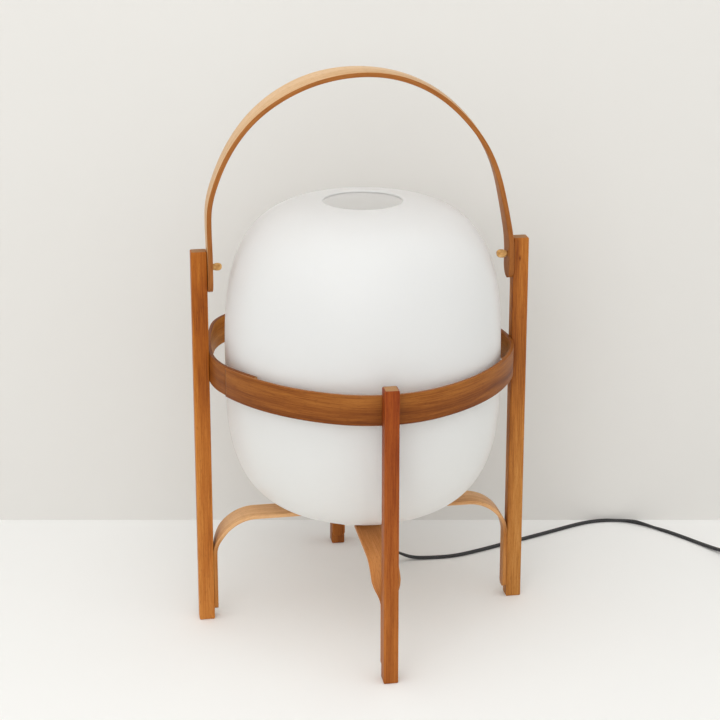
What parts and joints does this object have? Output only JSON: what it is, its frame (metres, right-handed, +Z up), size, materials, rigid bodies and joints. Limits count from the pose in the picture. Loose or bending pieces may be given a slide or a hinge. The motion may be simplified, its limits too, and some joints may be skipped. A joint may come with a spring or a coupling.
{
  "type": "table lamp",
  "caption": "Lantern table lamp: opal glass globe in a bent cherry wood frame with a hoop, crossed braces, a swinging arched carrying handle and a corded in-line switch.",
  "frame": {"origin": "on the table, under the axis of the globe, midway between the four posts", "axes": "+Z up; -Y towards the viewer, through the front short post; +X through the right tall post"},
  "size_m": [0.6767, 0.3875, 0.5793],
  "materials": {
    "cherry_wood": "oiled satin",
    "leather_lace": "natural",
    "steel": "zinc plated",
    "white_metal": "satin",
    "white_rubber": "matte",
    "opal_glass": "matte opal",
    "white_plastic": "gloss",
    "porcelain": "glazed",
    "brass_nickel": "bright",
    "bulb_glass": "frosted",
    "black_cord": "matte",
    "black_plastic": "satin"
  },
  "bodies": {
    "lamp": {"back_post": "cherry_wood", "brace_dowels": "cherry_wood", "bulb_cap": "brass_nickel", "bulb_contact": "brass_nickel", "bulb_glass": "bulb_glass", "centre_contact": "brass_nickel", "cord_coil": "black_cord", "cord_core": "black_cord", "cord_lead": "black_cord", "cord_relief": "black_cord", "cord_run": "black_cord", "cord_tail": "black_cord", "front_back_brace": "cherry_wood", "front_post": "cherry_wood", "globe": "opal_glass", "holder_base": "white_plastic", "holder_insert": "porcelain", "holder_skirt": "white_plastic", "hoop": "cherry_wood", "hoop_dowels": "cherry_wood", "left_pivot_lace": "leather_lace", "left_post": "cherry_wood", "left_right_brace": "cherry_wood", "nipple_nut": "steel", "nipple_washer": "steel", "plate_gasket": "white_rubber", "plug_body": "black_plastic", "plug_pins": "brass_nickel", "plug_relief": "black_cord", "right_pivot_lace": "leather_lace", "right_post": "cherry_wood", "rocker_pin": "steel", "shade_ring": "white_metal", "supply_wires": "black_cord", "support_plate": "white_metal", "switch_boots": "black_cord", "switch_lower_shell": "black_plastic", "switch_screws": "steel", "switch_upper_shell": "black_plastic", "terminal_screws": "steel", "thread_shell": "brass_nickel", "threaded_nipple": "steel"},
    "handle": {"handle": "cherry_wood"},
    "rocker": {"switch_rocker": "black_plastic"}
  },
  "joints": [
    {"name": "handle_swing", "type": "hinge", "parent": "lamp", "child": "handle", "pos_m": [0, 0, 0.3825], "axis": [1, 0, 0], "range_deg": [-111, 111]},
    {"name": "rocker_tip", "type": "hinge", "parent": "lamp", "child": "rocker", "pos_m": [0.4555, 0.00215, 0.0108], "axis": [0.866, 0.5, 0], "range_deg": [0, 14]}
  ]
}
